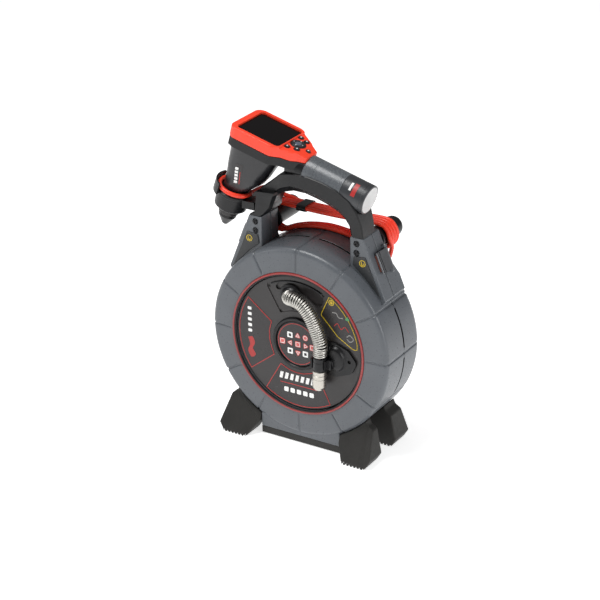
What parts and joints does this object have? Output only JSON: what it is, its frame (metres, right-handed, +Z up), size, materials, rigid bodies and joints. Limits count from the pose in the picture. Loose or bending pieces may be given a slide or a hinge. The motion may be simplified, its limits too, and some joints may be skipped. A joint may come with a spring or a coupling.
{
  "type": "inspection camera",
  "caption": "Drain inspection camera: a hand-held display docked on a round reel with a push cable drum, carry handle, feet and a spring-mounted camera head.",
  "frame": {"origin": "on the floor plane, under the middle of the whole object's box; the drum's axle is 6.1 mm to its +X side and 178 mm up", "axes": "+X to the right seen from the drum's face, +Y towards the back (the drum's axis), +Z up"},
  "size_m": [0.3302, 0.1741, 0.5178],
  "materials": {
    "grey_plastic": "satin moulded plastic",
    "battery_grey": "satin moulded plastic",
    "black_plastic": "fine-grained moulded plastic",
    "charcoal_plastic": "fine-grained moulded plastic",
    "black_rubber": "ribbed rubber",
    "red_trim": "satin red",
    "orange_shell": "satin orange-red",
    "red_cable": "smooth jacket",
    "spring_steel": "bright steel",
    "steel": "plain steel",
    "screen": "glossy black",
    "lens": "glossy black",
    "board": "solder mask"
  },
  "bodies": {
    "frame": {"rear_housing": "grey_plastic", "hinge_pin": "steel", "rear_base": "black_rubber", "left_rear_foot": "black_rubber", "right_rear_foot": "black_rubber", "left_peg": "black_plastic", "right_peg": "black_plastic", "left_latch_pin": "steel", "right_latch_pin": "steel", "carry_handle": "black_plastic", "drum_axle": "steel", "slip_ring_cover": "black_plastic", "dock_cup": "black_plastic", "connector_collar": "black_plastic", "cable_connector": "black_plastic", "system_cable": "red_cable", "cable_gland": "black_plastic", "cable_strap": "black_plastic"},
    "cover": {"front_housing": "grey_plastic", "front_ring": "red_trim", "front_base": "black_rubber", "left_front_foot": "black_rubber", "right_front_foot": "black_rubber", "left_post_panel": "black_plastic", "right_post_panel": "black_plastic", "left_upper_screw": "steel", "left_lower_screw": "steel", "right_upper_screw": "steel", "right_lower_screw": "steel", "left_latch_keeper": "steel", "right_latch_keeper": "steel"},
    "drum": {"drum_face": "charcoal_plastic", "drum_bowl": "black_plastic", "drum_bush": "steel", "push_cable_coil": "red_cable", "keypad_ring": "black_plastic", "keypad_panel": "charcoal_plastic", "spring_guide": "black_plastic", "camera_spring": "spring_steel", "camera_sleeve": "black_plastic", "camera_head": "spring_steel", "camera_window": "lens", "camera_clip": "black_plastic"},
    "left_latch_lever": {"left_latch": "charcoal_plastic"},
    "right_latch_lever": {"right_latch": "charcoal_plastic"},
    "display": {"display_bezel": "orange_shell", "display_body": "black_plastic", "screen_glass": "screen", "lcd_panel": "steel", "circuit_board": "board", "grip_shell": "grey_plastic", "display_snout": "grey_plastic"},
    "battery": {"battery_pack": "battery_grey"},
    "direction_pad_button": {"direction_pad": "charcoal_plastic"},
    "key_a_button": {"key_a": "charcoal_plastic"},
    "key_b_button": {"key_b": "charcoal_plastic"},
    "key_c_button": {"key_c": "charcoal_plastic"},
    "key_d_button": {"key_d": "charcoal_plastic"},
    "key_e_button": {"key_e": "charcoal_plastic"}
  },
  "joints": [
    {"name": "cover_hinge", "type": "hinge", "parent": "frame", "child": "cover", "pos_m": [0.0061, -0.0065, 0.008], "axis": [1, 0, 0], "range_deg": [0, 75]},
    {"name": "drum_spin", "type": "hinge", "parent": "frame", "child": "drum", "pos_m": [0.0061, 0.0005, 0.178], "axis": [0, 1, 0], "continuous": true},
    {"name": "left_latch_hinge", "type": "hinge", "parent": "frame", "child": "left_latch_lever", "pos_m": [-0.11583, 0.0085, 0.32587], "axis": [-0.3811, 0, -0.9245], "range_deg": [0, 110]},
    {"name": "right_latch_hinge", "type": "hinge", "parent": "frame", "child": "right_latch_lever", "pos_m": [0.12803, 0.0085, 0.32587], "axis": [-0.3811, 0, 0.9245], "range_deg": [0, 110]},
    {"name": "display_lift_off", "type": "slide", "parent": "frame", "child": "display", "axis": [0.342, 0, 0.9397], "range_m": [0, 0.05]},
    {"name": "battery_slide", "type": "slide", "parent": "display", "child": "battery", "axis": [0.9636, 0, -0.2672], "range_m": [0, 0.056]},
    {"name": "direction_pad_press", "type": "slide", "parent": "display", "child": "direction_pad_button", "axis": [-0.2672, 0, -0.9636], "range_m": [0, 0.0012], "stiffness_N_per_m": 400},
    {"name": "key_a_press", "type": "slide", "parent": "display", "child": "key_a_button", "axis": [-0.2672, 0, -0.9636], "range_m": [0, 0.0012], "stiffness_N_per_m": 400},
    {"name": "key_b_press", "type": "slide", "parent": "display", "child": "key_b_button", "axis": [-0.2672, 0, -0.9636], "range_m": [0, 0.0012], "stiffness_N_per_m": 400},
    {"name": "key_c_press", "type": "slide", "parent": "display", "child": "key_c_button", "axis": [-0.2672, 0, -0.9636], "range_m": [0, 0.0012], "stiffness_N_per_m": 400},
    {"name": "key_d_press", "type": "slide", "parent": "display", "child": "key_d_button", "axis": [-0.2672, 0, -0.9636], "range_m": [0, 0.0012], "stiffness_N_per_m": 400},
    {"name": "key_e_press", "type": "slide", "parent": "display", "child": "key_e_button", "axis": [-0.2672, 0, -0.9636], "range_m": [0, 0.0012], "stiffness_N_per_m": 400}
  ]
}
